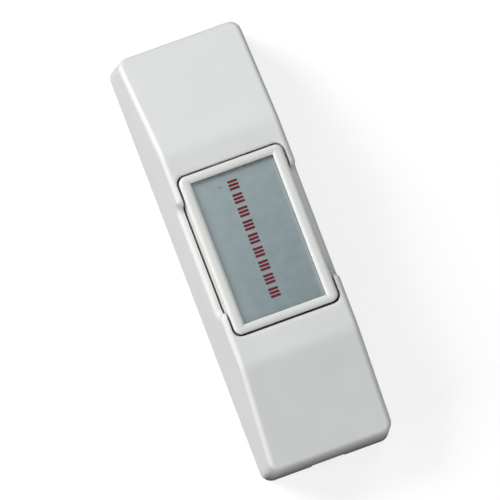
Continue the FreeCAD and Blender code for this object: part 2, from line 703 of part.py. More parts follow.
def normally_open_terminal():
    half = STRIP_WIDTH / 2
    blade = box(NO_X - half, NO_X + half, TERMINAL_Y, NO_STRIP_END_Y, CARRIER_TOP, STRIP_TOP)
    return with_terminal_hole(terminal_pad(NO_X).fuse(blade), NO_X)


def normally_closed_terminal():
    # The strip runs under the leaf, turns up past its end and comes back over it.
    outer = NC_LEG_Y + STRIP_THICKNESS
    outline = [
        (TERMINAL_Y, CARRIER_TOP),
        (outer, CARRIER_TOP),
        (outer, NC_RETURN_TOP),
        (NC_RETURN_END_Y, NC_RETURN_TOP),
        (NC_RETURN_END_Y, NC_RETURN_BOTTOM),
        (NC_LEG_Y, NC_RETURN_BOTTOM),
        (NC_LEG_Y, STRIP_TOP),
        (TERMINAL_Y, STRIP_TOP),
    ]
    bend_in = STRIP_THICKNESS / 2
    bend_out = bend_in + STRIP_THICKNESS
    points = [vec(NC_X - STRIP_WIDTH / 2, y, z) for y, z in outline]
    wire = rounded_wire(points, [0, bend_out, bend_out, 0, 0, bend_in, bend_in, 0])
    blade = Part.Face(wire).extrude(vec(STRIP_WIDTH, 0, 0))
    return with_terminal_hole(terminal_pad(NC_X).fuse(blade), NC_X)


def common_terminal():
    # The strip widens round the lower guide boss and its spring.
    half = COMMON_ROOT_WIDTH / 2
    strip = terminal_pad(0.0)
    strip = strip.fuse(box(-half, half, TERMINAL_Y, COMMON_ROOT_END_Y, CARRIER_TOP, STRIP_TOP))
    wide = SPRING_HOLE_RADIUS + COMMON_SIDE_WALL
    strip = strip.fuse(square_block(0, -POST_Y, wide, CARRIER_TOP, STRIP_TOP))
    holes = [(SPRING_HOLE_RADIUS, -POST_Y)]
    holes.append((RIVET_SHANK_RADIUS + FASTENER_CLEARANCE, LEAF_RIVET_Y))
    holes.append((CARRIER_SCREW_RADIUS + FASTENER_CLEARANCE, CARRIER_SCREW_LOWER_Y))
    for radius, y in holes:
        strip = strip.cut(cylinder(radius, 0, y, CARRIER_TOP, STRIP_TOP))
    return with_terminal_hole(strip, 0.0)


def contact_leaf():
    # Flat root, rising stem and a cross bar that carries a contact at each end.
    far = CONTACT_Y + LEAF_BAR_WIDTH / 2
    outline = [
        (LEAF_ROOT_END_Y, STRIP_TOP),
        (LEAF_BEND_Y, STRIP_TOP),
        (LEAF_RAMP_END_Y, LEAF_BAR_BOTTOM),
        (far, LEAF_BAR_BOTTOM),
        (far, LEAF_BAR_TOP),
        (LEAF_RAMP_END_Y, LEAF_BAR_TOP),
        (LEAF_BEND_Y, LEAF_ROOT_TOP),
        (LEAF_ROOT_END_Y, LEAF_ROOT_TOP),
    ]
    wide = LEAF_BEND_RADIUS + LEAF_THICKNESS
    radii = [0, wide, LEAF_BEND_RADIUS, 0, 0, wide, LEAF_BEND_RADIUS, 0]
    half_bar = TERMINAL_PITCH + LEAF_BAR_END_MARGIN
    points = [vec(-half_bar, y, z) for y, z in outline]
    sheet = Part.Face(rounded_wire(points, radii)).extrude(vec(2 * half_bar, 0, 0))
    half_stem = LEAF_STEM_WIDTH / 2
    top = LEAF_BAR_TOP + BEYOND
    plan = box(-half_stem, half_stem, LEAF_ROOT_END_Y, far, 0, top)
    bar = rounded_prism(LEAF_BAR_WIDTH, 2 * half_bar, LEAF_BAR_CORNER_RADIUS, 0, top, CONTACT_Y)
    leaf = sheet.common(plan.fuse(bar))
    rivet_hole = RIVET_SHANK_RADIUS + FASTENER_CLEARANCE
    return leaf.cut(cylinder(rivet_hole, 0, LEAF_RIVET_Y, STRIP_TOP, LEAF_ROOT_TOP))


def contact_button(x, bottom):
    # A silver disc welded flat on its strip or leaf.
    return cylinder(CONTACT_RADIUS, x, CONTACT_Y, bottom, bottom + CONTACT_HEIGHT)


def moving_contacts():
    upper = contact_button(NC_X, LEAF_BAR_TOP)
    lower = contact_button(NO_X, MOVING_HEAD_BOTTOM)
    return Part.makeCompound([upper, lower])


def leaf_rivet():
    head = cylinder(RIVET_HEAD_RADIUS, 0, LEAF_RIVET_Y, LEAF_ROOT_TOP,
                    LEAF_ROOT_TOP + RIVET_HEAD_HEIGHT)
    tail_low = RIVET_CEILING - RIVET_TAIL_HEIGHT
    shank = cylinder(RIVET_SHANK_RADIUS, 0, LEAF_RIVET_Y, tail_low, LEAF_ROOT_TOP)
    tail = cylinder(RIVET_TAIL_RADIUS, 0, LEAF_RIVET_Y, tail_low, RIVET_CEILING)
    return head.fuse(shank).fuse(tail).removeSplitter()


def slotted_screw(x, y, seat, head_radius, head_height, shank_radius, tip):
    head = cylinder(head_radius, x, y, seat, seat + head_height)
    half = SCREW_SLOT_WIDTH / 2
    slot = box(x - head_radius, x + head_radius, y - half, y + half,
               seat + head_height - SCREW_SLOT_DEPTH, seat + head_height)
    return head.cut(slot).fuse(cylinder(shank_radius, x, y, tip, seat)).removeSplitter()


def terminal_screws():
    seat = STRIP_TOP + WASHER_THICKNESS
    screws = []
    for x in TERMINAL_X:
        screws.append(slotted_screw(x, TERMINAL_Y, seat, TERMINAL_SCREW_HEAD_RADIUS,
                                    TERMINAL_SCREW_HEAD_HEIGHT, TERMINAL_SCREW_RADIUS,
                                    NUT_BOTTOM + SCREW_TIP_ROOM))
    return Part.makeCompound(screws)


def carrier_screws():
    screws = []
    for y, seat in ((CARRIER_SCREW_LOWER_Y, STRIP_TOP), (CARRIER_SCREW_UPPER_Y, CARRIER_TOP)):
        screws.append(slotted_screw(0, y, seat, CARRIER_SCREW_HEAD_RADIUS,
                                    CARRIER_SCREW_HEAD_HEIGHT, CARRIER_SCREW_RADIUS,
                                    CARRIER_SCREW_TIP_HEIGHT))
    return Part.makeCompound(screws)


def square_piece(x, size, z0, z1):
    # A square washer or nut with its hole.
    half = size / 2
    piece = box(x - half, x + half, TERMINAL_Y - half, TERMINAL_Y + half, z0, z1)
    return piece.cut(cylinder(TERMINAL_SCREW_RADIUS + FASTENER_CLEARANCE, x, TERMINAL_Y, z0, z1))


def clamp_washers():
    top = STRIP_TOP + WASHER_THICKNESS
    return Part.makeCompound([square_piece(x, WASHER_SIZE, STRIP_TOP, top) for x in TERMINAL_X])


def terminal_nuts():
    nuts = [square_piece(x, NUT_SIZE, NUT_BOTTOM, CARRIER_TOP) for x in TERMINAL_X]
    return Part.makeCompound(nuts)


NODES = {
    "front_cover": front_cover,
    "base_plate": base_plate,
    "push_button": push_button,
    "label_plate": label_plate,
    "plate_adhesive": plate_adhesive,
    "upper_return_spring": lambda: return_spring(POST_Y),
    "lower_return_spring": lambda: return_spring(-POST_Y),
    "contact_carrier": contact_carrier,
    "common_terminal": common_terminal,
    "normally_open_terminal": normally_open_terminal,
    "normally_closed_terminal": normally_closed_terminal,
    "contact_leaf": contact_leaf,
    "leaf_rivet": leaf_rivet,
    "moving_contacts": moving_contacts,
    "normally_open_contact": lambda: contact_button(NO_X, STRIP_TOP),
    "normally_closed_contact": lambda: contact_button(NC_X, NC_HEAD_BOTTOM),
    "terminal_screws": terminal_screws,
    "clamp_washers": clamp_washers,
    "terminal_nuts": terminal_nuts,
    "carrier_screws": carrier_screws,
}

os.makedirs("parts", exist_ok=True)
for name, make in NODES.items():
    shape = make()
    shape.exportStep(f"parts/{name}.step")
    print(name, round(shape.Volume, 2), "mm3,", len(shape.Solids), "solid(s),", len(shape.Faces),
          "faces, valid" if shape.isValid() else "faces, NOT VALID")
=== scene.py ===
import math

import bmesh
import bpy
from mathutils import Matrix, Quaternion, Vector


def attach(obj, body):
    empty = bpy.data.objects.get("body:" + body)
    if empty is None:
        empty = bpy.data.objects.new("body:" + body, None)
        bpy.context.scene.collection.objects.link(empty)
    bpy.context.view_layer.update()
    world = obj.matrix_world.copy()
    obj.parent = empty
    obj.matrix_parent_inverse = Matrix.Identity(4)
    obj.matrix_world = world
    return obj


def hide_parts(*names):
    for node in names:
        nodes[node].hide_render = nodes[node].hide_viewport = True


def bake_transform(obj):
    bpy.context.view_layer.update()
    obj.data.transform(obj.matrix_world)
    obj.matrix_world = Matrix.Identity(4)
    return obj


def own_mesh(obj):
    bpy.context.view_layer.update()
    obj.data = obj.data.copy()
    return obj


# The panic button lies on its flat back, as on a table, around the frame packed from its solids.
# Lengths are named in millimetres and turned to metres where they are used.
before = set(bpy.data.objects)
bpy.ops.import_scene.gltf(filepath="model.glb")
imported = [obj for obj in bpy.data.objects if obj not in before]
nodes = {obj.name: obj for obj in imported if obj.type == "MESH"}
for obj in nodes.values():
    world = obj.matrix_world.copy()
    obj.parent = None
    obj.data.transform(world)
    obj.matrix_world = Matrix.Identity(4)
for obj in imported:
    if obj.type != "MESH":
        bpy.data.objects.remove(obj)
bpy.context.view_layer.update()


# Camera. The photograph looks down on the front from the lower left, through a lens so long
# that the far end of the housing looks as wide as the near end. The values were fitted to the
# housing's edges in it.
MM = 0.001
VIEW_AZIMUTH_DEG = -51.7065
VIEW_ELEVATION_DEG = 78.6628
VIEW_ROLL_DEG = 31.3439
VIEW_DISTANCE = 2310.76
VIEW_CENTRE = Vector((-2.342, -1.467, 18.0))
FOCAL_PIXELS = 11754.9
PHOTO_SIDE_PIXELS = 500
SENSOR_WIDTH = 36.0
NEAREST_SEEN = 100.0
FARTHEST_SEEN = 20000.0


def towards(azimuth_deg, elevation_deg):
    """The direction from the object to a place at this azimuth and height above the horizon."""
    azimuth = math.radians(azimuth_deg)
    elevation = math.radians(elevation_deg)
    level = math.cos(elevation)
    return Vector((math.sin(azimuth) * level, -math.cos(azimuth) * level, math.sin(elevation)))


scene = bpy.context.scene
camera = bpy.data.objects.new("camera", bpy.data.cameras.new("camera"))
scene.collection.objects.link(camera)
camera.data.sensor_width = SENSOR_WIDTH
camera.data.lens = FOCAL_PIXELS * SENSOR_WIDTH / PHOTO_SIDE_PIXELS
camera.data.clip_start = NEAREST_SEEN * MM
camera.data.clip_end = FARTHEST_SEEN * MM
back = towards(VIEW_AZIMUTH_DEG, VIEW_ELEVATION_DEG)
camera.location = (VIEW_CENTRE + back * VIEW_DISTANCE) * MM
camera.rotation_mode = "QUATERNION"
roll = Quaternion((0, 0, 1), math.radians(VIEW_ROLL_DEG))
camera.rotation_quaternion = (-back).to_track_quat("-Z", "Y") @ roll
scene.camera = camera


# Studio. A large low softbox on the left lights that wall, and the ones past the upper corners
# throw the rim's short shadow on the plate. Weaker ones past the lower end open up the slope there.
# Each softbox has its azimuth and elevation in degrees, its side, its watts and its tint.
SOFTBOXES = {
    "left_softbox": (-90, 10, 700.0, 6.9, "#FFFCFB"),
    "upper_left_softbox": (-135, 30, 500.0, 11.0, "#FEFEFF"),
    "upper_right_softbox": (135, 30, 500.0, 3.1, "#F8FCFF"),
    "lower_left_softbox": (-45, 55, 500.0, 0.9, "#FFFEFD"),
    "lower_softbox": (3, 37, 500.0, 3.3, "#FFFEFF"),
    "lower_right_softbox": (30, 55, 500.0, 1.3, "#F8FCFF"),
}
SOFTBOX_AWAY = 1100.0
DOME_LEVEL = 0.01
BACKGROUND = "#FCFDFC"

scene.view_settings.view_transform = "Standard"


def linear(code):
    """A colour written as an sRGB hex code, in the linear values that nodes take."""
    channels = [int(code[i : i + 2], 16) / 255 for i in (1, 3, 5)]
    curved = [c / 12.92 if c <= 0.04045 else ((c + 0.055) / 1.055) ** 2.4 for c in channels]
    return (*curved, 1.0)


def add(tree, kind, sockets=None, links=None, **settings):
    """Adds a node: settings are its properties, sockets its fixed inputs, links its fed ones."""
    node = tree.nodes.new(kind)
    for name, value in settings.items():
        setattr(node, name, value)
    for name, value in (sockets or {}).items():
        node.inputs[name].default_value = value
    for name, source in (links or {}).items():
        tree.links.new(source, node.inputs[name])
    return node


for name, (azimuth, elevation, side, watts, tint) in SOFTBOXES.items():
    lamp = bpy.data.lights.new(name, "AREA")
    lamp.shape = "SQUARE"
    lamp.size = side * MM
    lamp.energy = watts
    lamp.color = linear(tint)[:3]
    softbox = bpy.data.objects.new(name, lamp)
    scene.collection.objects.link(softbox)
    direction = towards(azimuth, elevation)
    softbox.location = direction * SOFTBOX_AWAY * MM
    softbox.rotation_mode = "QUATERNION"
    softbox.rotation_quaternion = (-direction).to_track_quat("-Z", "Y")


def seen_directly(tree):
    """1 for what the camera sees straight, in a gloss or through glass, and 0 for plain light."""
    path = add(tree, "ShaderNodeLightPath")
    seen = path.outputs["Is Camera Ray"]
    for ray in ("Is Glossy Ray", "Is Transmission Ray"):
        rays = {0: seen, 1: path.outputs[ray]}
        seen = add(tree, "ShaderNodeMath", links=rays, operation="MAXIMUM").outputs[0]
    return seen


# The room gives hardly any light of its own. The camera, gloss and glass see it white.
world = bpy.data.worlds.new("pale_room")
scene.world = world
world.use_nodes = True
tree = world.node_tree
tree.nodes.clear()
tones = {"A": (DOME_LEVEL, DOME_LEVEL, DOME_LEVEL, 1.0), "B": linear(BACKGROUND)}
dome = add(tree, "ShaderNodeMix", tones, {0: seen_directly(tree)}, data_type="RGBA")
sky = add(tree, "ShaderNodeBackground", links={"Color": dome.outputs["Result"]})
add(tree, "ShaderNodeOutputWorld", links={"Surface": sky.outputs[0]})


# Table. A sheet of matt paper under the object. Light that bounces finds it dark, so little comes
# back up from it. The camera sees it pale, and a glow that only the camera sees brings it to the
# backdrop's white with a faint shadow left.
TABLE_SIDE = 6000.0
TABLE_DROP = 0.02
TABLE_PAPER = "#3C3C3B"
TABLE_SEEN_PAPER = "#A6A6A5"
TABLE_LIFT = 0.72


def new_material(name):
    """An empty material and its tree."""
    material = bpy.data.materials.new(name)
    material.use_nodes = True
    material.node_tree.nodes.clear()
    return material, material.node_tree


table_mesh = bpy.data.meshes.new("table_paper")
half = TABLE_SIDE / 2 * MM
level = -TABLE_DROP * MM
corners = [(-half, -half, level), (half, -half, level), (half, half, level), (-half, half, level)]
table_mesh.from_pydata(corners, [], [(0, 1, 2, 3)])
table = bpy.data.objects.new("table_paper", table_mesh)
scene.collection.objects.link(table)

# Matt paper scatters light evenly, so the eye finds a soft shadow on it and no gloss.
paper, tree = new_material("matt_paper")
tones = {"A": linear(TABLE_PAPER), "B": linear(TABLE_SEEN_PAPER)}
tone = add(tree, "ShaderNodeMix", tones, {0: seen_directly(tree)}, data_type="RGBA")
matt = add(tree, "ShaderNodeBsdfDiffuse", links={"Color": tone.outputs["Result"]})
straight = add(tree, "ShaderNodeLightPath").outputs["Is Camera Ray"]
lift = add(tree, "ShaderNodeMath", {1: TABLE_LIFT}, {0: straight}, operation="MULTIPLY")
glow = add(tree, "ShaderNodeEmission", {"Color": linear(BACKGROUND)}, {"Strength": lift.outputs[0]})
sheet = add(tree, "ShaderNodeAddShader", links={0: matt.outputs[0], 1: glow.outputs[0]})
add(tree, "ShaderNodeOutputMaterial", links={"Surface": sheet.outputs[0]})
table_mesh.materials.append(paper)


# Front cover. One moulding in off-white ABS with a roof-shaped front, drafted walls and a window
# for the button. It slips over the base and snaps on at both ends. Painted shade darkens the foot
# of its lower end wall.
COVER_COLOUR = "#D8D9D8"
COVER_SHADE = "#D4D6D5"
COVER_ROUGHNESS = 0.5
ABS_IOR = 1.54
# Noise keeps mostly to this part of 0 to 1, which is stretched to the range that is wanted.
NOISE_SPAN = (0.3, 0.7)
MOTTLE_SIZE = 9.0
MOTTLE_DETAIL = 2.0
POLISH_SPREAD = 0.02
# A mould's grain is under 0.1 mm wide. It is drawn coarser, so that the render can show it.
MOULD_GRAIN = 0.28
MOULD_GRAIN_DEPTH = 0.004
MOULD_GRAIN_STRENGTH = 0.5
GRAIN_DETAIL = 3.0
# Painted shade on the foot of the lower end wall: its colour, then the heights and lengths where it
# is full and where it is none.
FOOT_PAINTED_SHADE = "#5E5A57"
FOOT_PAINTED_SHADE_HEIGHTS = (1.0, 9.0)
FOOT_PAINTED_SHADE_LENGTHS = (-43.4, -42.4)


def millimetres(tree, stretch=(1.0, 1.0, 1.0)):
    """The object's own coordinates in millimetres, shrunk along each axis by the stretch."""
    place = add(tree, "ShaderNodeTexCoord")
    scale = [1 / (MM * s) for s in stretch]
    links = {"Vector": place.outputs["Object"]}
    return add(tree, "ShaderNodeMapping", {"Scale": scale}, links).outputs[0]


def between(start, end, low=0.0, high=1.0):
    """Map Range inputs that turn a value from start to end into one from low to high."""
    return {"From Min": start, "From Max": end, "To Min": low, "To Max": high}


def blotches(tree, where, size, low=0.0, high=1.0, detail=MOTTLE_DETAIL):
    """Soft blotches about this many millimetres wide, as a value that runs from low to high."""
    sockets = {"Scale": 1 / size, "Detail": detail}
    noise = add(tree, "ShaderNodeTexNoise", sockets, {"Vector": where})
    links = {"Value": noise.outputs["Fac"]}
    return add(tree, "ShaderNodeMapRange", between(*NOISE_SPAN, low, high), links).outputs["Result"]


def drifting_colour(tree, where, size, first, second):
    """A colour that drifts between two hex codes in blotches of this size."""
    tones = {"A": linear(first), "B": linear(second)}
    links = {0: blotches(tree, where, size)}
    return add(tree, "ShaderNodeMix", tones, links, data_type="RGBA").outputs["Result"]


def fine_grain(tree, where, size, strength, depth):
    """The normal of a surface with grain of this size and depth in millimetres."""
    sockets = {"Scale": 1 / size, "Detail": GRAIN_DETAIL}
    noise = add(tree, "ShaderNodeTexNoise", sockets, {"Vector": where})
    sockets = {"Strength": strength, "Distance": depth * MM}
    return add(tree, "ShaderNodeBump", sockets, {"Height": noise.outputs["Fac"]}).outputs["Normal"]


def opaque_surface(tree, sockets, links):
    """The surface that a finish is laid on, and the material's output."""
    surface = add(tree, "ShaderNodeBsdfPrincipled", sockets, links)
    add(tree, "ShaderNodeOutputMaterial", links={"Surface": surface.outputs[0]})


def moulded_plastic(name, colour, shade, roughness):
    """A moulded plastic: even and opaque, satin from the fine grain that the mould leaves on it."""
    material, tree = new_material(name)
    where = millimetres(tree)
    low = roughness - POLISH_SPREAD
    high = roughness + POLISH_SPREAD
    finish = {
        "Base Color": drifting_colour(tree, where, MOTTLE_SIZE, colour, shade),
        "Roughness": blotches(tree, where, MOTTLE_SIZE / 2, low, high),
        "Normal": fine_grain(tree, where, MOULD_GRAIN, MOULD_GRAIN_STRENGTH, MOULD_GRAIN_DEPTH),
    }
    opaque_surface(tree, {"IOR": ABS_IOR}, finish)
    return material


def paint_low_shade(material, colour, heights, lengths):
    """Painted shade low down at a moulding's lower end: full at the first height and length, none
    at the second.
    """
    tree = material.node_tree
    where = add(tree, "ShaderNodeSeparateXYZ", links={"Vector": millimetres(tree)})
    amounts = {}
    for order, direction, (full, none) in ((0, "Z", heights), (1, "Y", lengths)):
        links = {"Value": where.outputs[direction]}
        amount = add(tree, "ShaderNodeMapRange", between(none, full), links)
        amounts[order] = amount.outputs["Result"]
    both = add(tree, "ShaderNodeMath", links=amounts, operation="MULTIPLY")
    surface = tree.nodes["Principled BSDF"].inputs["Base Color"]
    plain = surface.links[0].from_socket
    links = {0: both.outputs[0], "A": plain}
    shaded_colour = add(tree, "ShaderNodeMix", {"B": linear(colour)}, links, data_type="RGBA")
    tree.links.new(shaded_colour.outputs["Result"], surface)


def dress(piece, material):
    """Gives a whole piece one material."""
    for place in piece.material_slots:
        place.material = material


# ABS from a finely grained mould: an even off-white, opaque, with a broad and soft sheen.
cover_abs = moulded_plastic("moulded_abs_cover", COVER_COLOUR, COVER_SHADE, COVER_ROUGHNESS)
# Painted shade darkens the foot of the lower end wall.
paint_low_shade(cover_abs, FOOT_PAINTED_SHADE, FOOT_PAINTED_SHADE_HEIGHTS, FOOT_PAINTED_SHADE_LENGTHS)
dress(nodes["front_cover"], cover_abs)


# Push button. A large key moulded in the same ABS, with a rounded frame round the recess that
# takes the plate. Two posts guide it and two springs lift it. Painted shade darkens the skirt and
# the lip at its lower end, down in the gap.
BUTTON_COLOUR = "#DADBD8"
BUTTON_SHADE = "#D5D6D2"
BUTTON_ROUGHNESS = 0.47
# Painted shade on the skirt and the lip at the lower end, down in the gap: its colour, then the
# heights and lengths where it is full and where it is none.
GAP_PAINTED_SHADE = "#5F5A54"
GAP_PAINTED_SHADE_HEIGHTS = (16.4, 17.3)
GAP_PAINTED_SHADE_LENGTHS = (-16.45, -16.4)

# ABS from a smoother mould, and rubbed by hands: a little warmer, with a slightly tighter sheen.
button_abs = moulded_plastic("moulded_abs_button", BUTTON_COLOUR, BUTTON_SHADE, BUTTON_ROUGHNESS)
# Painted shade darkens the skirt and the lip down in the gap.
paint_low_shade(button_abs, GAP_PAINTED_SHADE, GAP_PAINTED_SHADE_HEIGHTS, GAP_PAINTED_SHADE_LENGTHS)
dress(nodes["push_button"], button_abs)


# Label plate. A blanked sheet of satin anodised aluminium, bonded in the button's recess. A painted
# reflection makes it lighter at the upper left and darker towards the lower right. Painted light
# lightens both long edges, a patchy band under the upper edge is part grime and part painted
# shadow, and a dark speck is near it.
PLATE_COLOUR = "#919EA1"
PLATE_SHADE = "#788588"
PLATE_ROUGHNESS = 0.45
PLATE_METALLIC = 0.3
# Brush lines are a few hundredths of a millimetre wide. They are drawn coarser, so that they show.
BRUSH_LINE = 0.12
BRUSH_LENGTH = 9.0
BRUSH_DEPTH = 0.002
BRUSH_STRENGTH = 0.4
BRUSH_SPREAD = 0.04
# A painted reflection: the colour runs from the first tone at the upper left to the second at the
# lower right along this slope, with random blotches in it.
PAINTED_SHEEN_SLOPE = (0.61, -0.55, 0.0)
PAINTED_SHEEN_REACH = 13.4
SHEEN_MOTTLE_SIZE = 2.2
SHEEN_MOTTLE_WANDER = 4.0
SHEEN_MOTTLE_DETAIL = 4.0
# Painted light on the left edge, where the left rim's shadow falls.
LEFT_PAINTED_LIGHT_COLOUR = "#98A5A8"
LEFT_PAINTED_LIGHT_FROM = -5.0
LEFT_PAINTED_LIGHT_TO = -8.7
LEFT_PAINTED_LIGHT_MOST = 0.6
# Painted light on the right edge, for the light that the rim's inner wall throws on it.
RIGHT_PAINTED_BOUNCE_COLOUR = "#969FA0"
RIGHT_PAINTED_BOUNCE_FROM = 7.6
RIGHT_PAINTED_BOUNCE_TO = 8.7
# A dark band in patches under the upper edge: part grime, part painted shadow of the upper rim.
GRIME_AND_SHADOW_COLOUR = "#4E5557"
GRIME_AND_SHADOW_FROM = 14.0
GRIME_AND_SHADOW_TO = 14.6
GRIME_AND_SHADOW_PATCH = 1.2
GRIME_AND_SHADOW_LEAST = 0.3
GRIME_AND_SHADOW_MOST = 0.75
GRIME_AND_SHADOW_DETAIL = 3.0
SPECK_COLOUR = "#6C7A80"
SPECK_PLACE = Vector((-3.45, 12.3, 17.4))
SPECK_RADIUS = 0.32


def worked_lines(tree, run, roughness, spread, strength, depth):
    """Fine lines on a metal: the roughness and the normal. Run is their size along each axis."""
    sockets = {"Scale": 1.0, "Detail": GRAIN_DETAIL}
    noise = add(tree, "ShaderNodeTexNoise", sockets, {"Vector": millimetres(tree, run)})
    lines = noise.outputs["Fac"]
    dullness = between(*NOISE_SPAN, roughness - spread, roughness + spread)
    dull = add(tree, "ShaderNodeMapRange", dullness, {"Value": lines})
    sockets = {"Strength": strength, "Distance": depth * MM}
    bump = add(tree, "ShaderNodeBump", sockets, {"Height": lines})
    return {"Roughness": dull.outputs["Result"], "Normal": bump.outputs["Normal"]}


# Aluminium that is brushed and then anodised. The clear oxide film scatters the light, so the eye
# finds a silky blue-grey with little metal in it, and hardly any reflection.
aluminium, tree = new_material("satin_anodised_aluminium")
where = millimetres(tree)
place = add(tree, "ShaderNodeSeparateXYZ", links={"Vector": where})
# A painted reflection: lighter at the upper left, darker towards the lower right, with random
# blotches.
across = add(tree, "ShaderNodeVectorMath", {1: PAINTED_SHEEN_SLOPE}, {0: where}, operation="DOT_PRODUCT")
wander = blotches(tree, where, SHEEN_MOTTLE_SIZE, -SHEEN_MOTTLE_WANDER, SHEEN_MOTTLE_WANDER, SHEEN_MOTTLE_DETAIL)
uneven = add(tree, "ShaderNodeMath", links={0: across.outputs["Value"], 1: wander}, operation="ADD")
whole_sheen = between(-PAINTED_SHEEN_REACH, PAINTED_SHEEN_REACH)
sheen_and_mottle = add(tree, "ShaderNodeMapRange", whole_sheen, {"Value": uneven.outputs[0]})
tones = {"A": linear(PLATE_COLOUR), "B": linear(PLATE_SHADE)}
sheened_colour = add(tree, "ShaderNodeMix", tones, {0: sheen_and_mottle.outputs["Result"]}, data_type="RGBA")

# Painted light along the left edge.
left_light_span = between(LEFT_PAINTED_LIGHT_FROM, LEFT_PAINTED_LIGHT_TO, high=LEFT_PAINTED_LIGHT_MOST)
left_painted_light = add(tree, "ShaderNodeMapRange", left_light_span, {"Value": place.outputs["X"]})
# Painted light along the right edge.
right_painted_bounce = add(
    tree,
    "ShaderNodeMapRange",
    between(RIGHT_PAINTED_BOUNCE_FROM, RIGHT_PAINTED_BOUNCE_TO),
    {"Value": place.outputs["X"]},
    interpolation_type="SMOOTHSTEP",
)
# A patchy band under the upper edge, part grime and part painted shadow.
patches = blotches(tree, where, GRIME_AND_SHADOW_PATCH, GRIME_AND_SHADOW_LEAST, GRIME_AND_SHADOW_MOST, GRIME_AND_SHADOW_DETAIL)
under_edge = {"Value": place.outputs["Y"], "To Max": patches}
grime_and_shadow = add(tree, "ShaderNodeMapRange", between(GRIME_AND_SHADOW_FROM, GRIME_AND_SHADOW_TO), under_edge)
away = add(tree, "ShaderNodeVectorMath", {1: SPECK_PLACE}, {0: where}, operation="DISTANCE")
dot = between(SPECK_RADIUS / 2, SPECK_RADIUS, 1.0, 0.0)
speck = add(tree, "ShaderNodeMapRange", dot, {"Value": away.outputs["Value"]})

colour = sheened_colour.outputs["Result"]
layers = [
    (left_painted_light, LEFT_PAINTED_LIGHT_COLOUR),
    (right_painted_bounce, RIGHT_PAINTED_BOUNCE_COLOUR),
    (grime_and_shadow, GRIME_AND_SHADOW_COLOUR),
    (speck, SPECK_COLOUR),
]
for amount, tone in layers:
    links = {0: amount.outputs["Result"], "A": colour}
    layer = add(tree, "ShaderNodeMix", {"B": linear(tone)}, links, data_type="RGBA")
    colour = layer.outputs["Result"]
run = (BRUSH_LINE, BRUSH_LENGTH, BRUSH_LINE)
brushed = worked_lines(tree, run, PLATE_ROUGHNESS, BRUSH_SPREAD, BRUSH_STRENGTH, BRUSH_DEPTH)
opaque_surface(tree, {"Metallic": PLATE_METALLIC}, {"Base Color": colour, **brushed})
dress(nodes["label_plate"], aluminium)


# Printed marks. Red ink in a column of nine groups of three short bars, screen-printed on the
# plate along its middle. The ink stands a little proud of the metal and has soft corners.
INK_COLOUR = "#66061A"
INK_SHADE = "#580516"
INK_ROUGHNESS = 0.5
INK_IOR = 1.38
INK_BLOTCH = 1.5
# The screen's mesh has about eight threads in a millimetre. The film's unevenness is drawn twice as
# coarse as that, so that it shows.
INK_GRAIN = 0.28
INK_GRAIN_DEPTH = 0.004
INK_GRAIN_STRENGTH = 0.4
MARKS = {
    "First Bar": (-0.68 * MM, 12.66 * MM, 17.4 * MM),
    "Groups": 9,
    "Group Pitch": 2.85 * MM,
    "Bars": 3,
    "Bar Pitch": 0.74 * MM,
    "Bar Length": 2.05 * MM,
    "Bar Width": 0.5 * MM,
    "Corner Radius": 0.12 * MM,
    "Ink Thickness": 0.02 * MM,
}
CORNER_SIDES = 3
WELD = 0.001

# Ink that has dried to a thin even film: a deep red that hides the metal, with a weak sheen.
ink, tree = new_material("screen_printed_ink")
where = millimetres(tree)
film = {
    "Base Color": drifting_colour(tree, where, INK_BLOTCH, INK_COLOUR, INK_SHADE),
    "Normal": fine_grain(tree, where, INK_GRAIN, INK_GRAIN_STRENGTH, INK_GRAIN_DEPTH),
}
opaque_surface(tree, {"IOR": INK_IOR, "Roughness": INK_ROUGHNESS}, film)


def sized_tree(name, sizes):
    """A node tree that makes a mesh, with one named input for each size, and its inputs."""
    kinds = {int: "NodeSocketInt", float: "NodeSocketFloat", tuple: "NodeSocketVector"}
    tree = bpy.data.node_groups.new(name, "GeometryNodeTree")
    for size, value in sizes.items():
        tree.interface.new_socket(size, in_out="INPUT", socket_type=kinds[type(value)])
    tree.interface.new_socket("Geometry", in_out="OUTPUT", socket_type="NodeSocketGeometry")
    return tree, add(tree, "NodeGroupInput").outputs


def end_tree(tree, geometry, material):
    """Makes all that the tree grew real, gives it its material and hands it out."""
    real = add(tree, "GeometryNodeRealizeInstances", links={"Geometry": geometry})
    links = {"Geometry": real.outputs[0]}
    finished = add(tree, "GeometryNodeSetMaterial", {"Material": material}, links)
    add(tree, "NodeGroupOutput", links={"Geometry": finished.outputs[0]})


def grow(name, tree, sizes):
    """A plain mesh object that the tree makes at these sizes."""
    piece = bpy.data.objects.new(name, bpy.data.meshes.new(name))
    scene.collection.objects.link(piece)
    growth = piece.modifiers.new(tree.name, "NODES")
    growth.node_group = tree
    for item in tree.interface.items_tree:
        if item.name in sizes:
            growth[item.identifier] = sizes[item.name]
    grown = piece.evaluated_get(bpy.context.evaluated_depsgraph_get())
    shape = bpy.data.meshes.new_from_object(grown)
    piece.modifiers.remove(growth)
    piece.data = shape
    return piece


def step_down(tree, distance):
    """The offset from one place in the column to the next one below it."""
    down = add(tree, "ShaderNodeMath", {1: -1.0}, {0: distance}, operation="MULTIPLY")
    return add(tree, "ShaderNodeCombineXYZ", links={"Y": down.outputs[0]}).outputs[0]


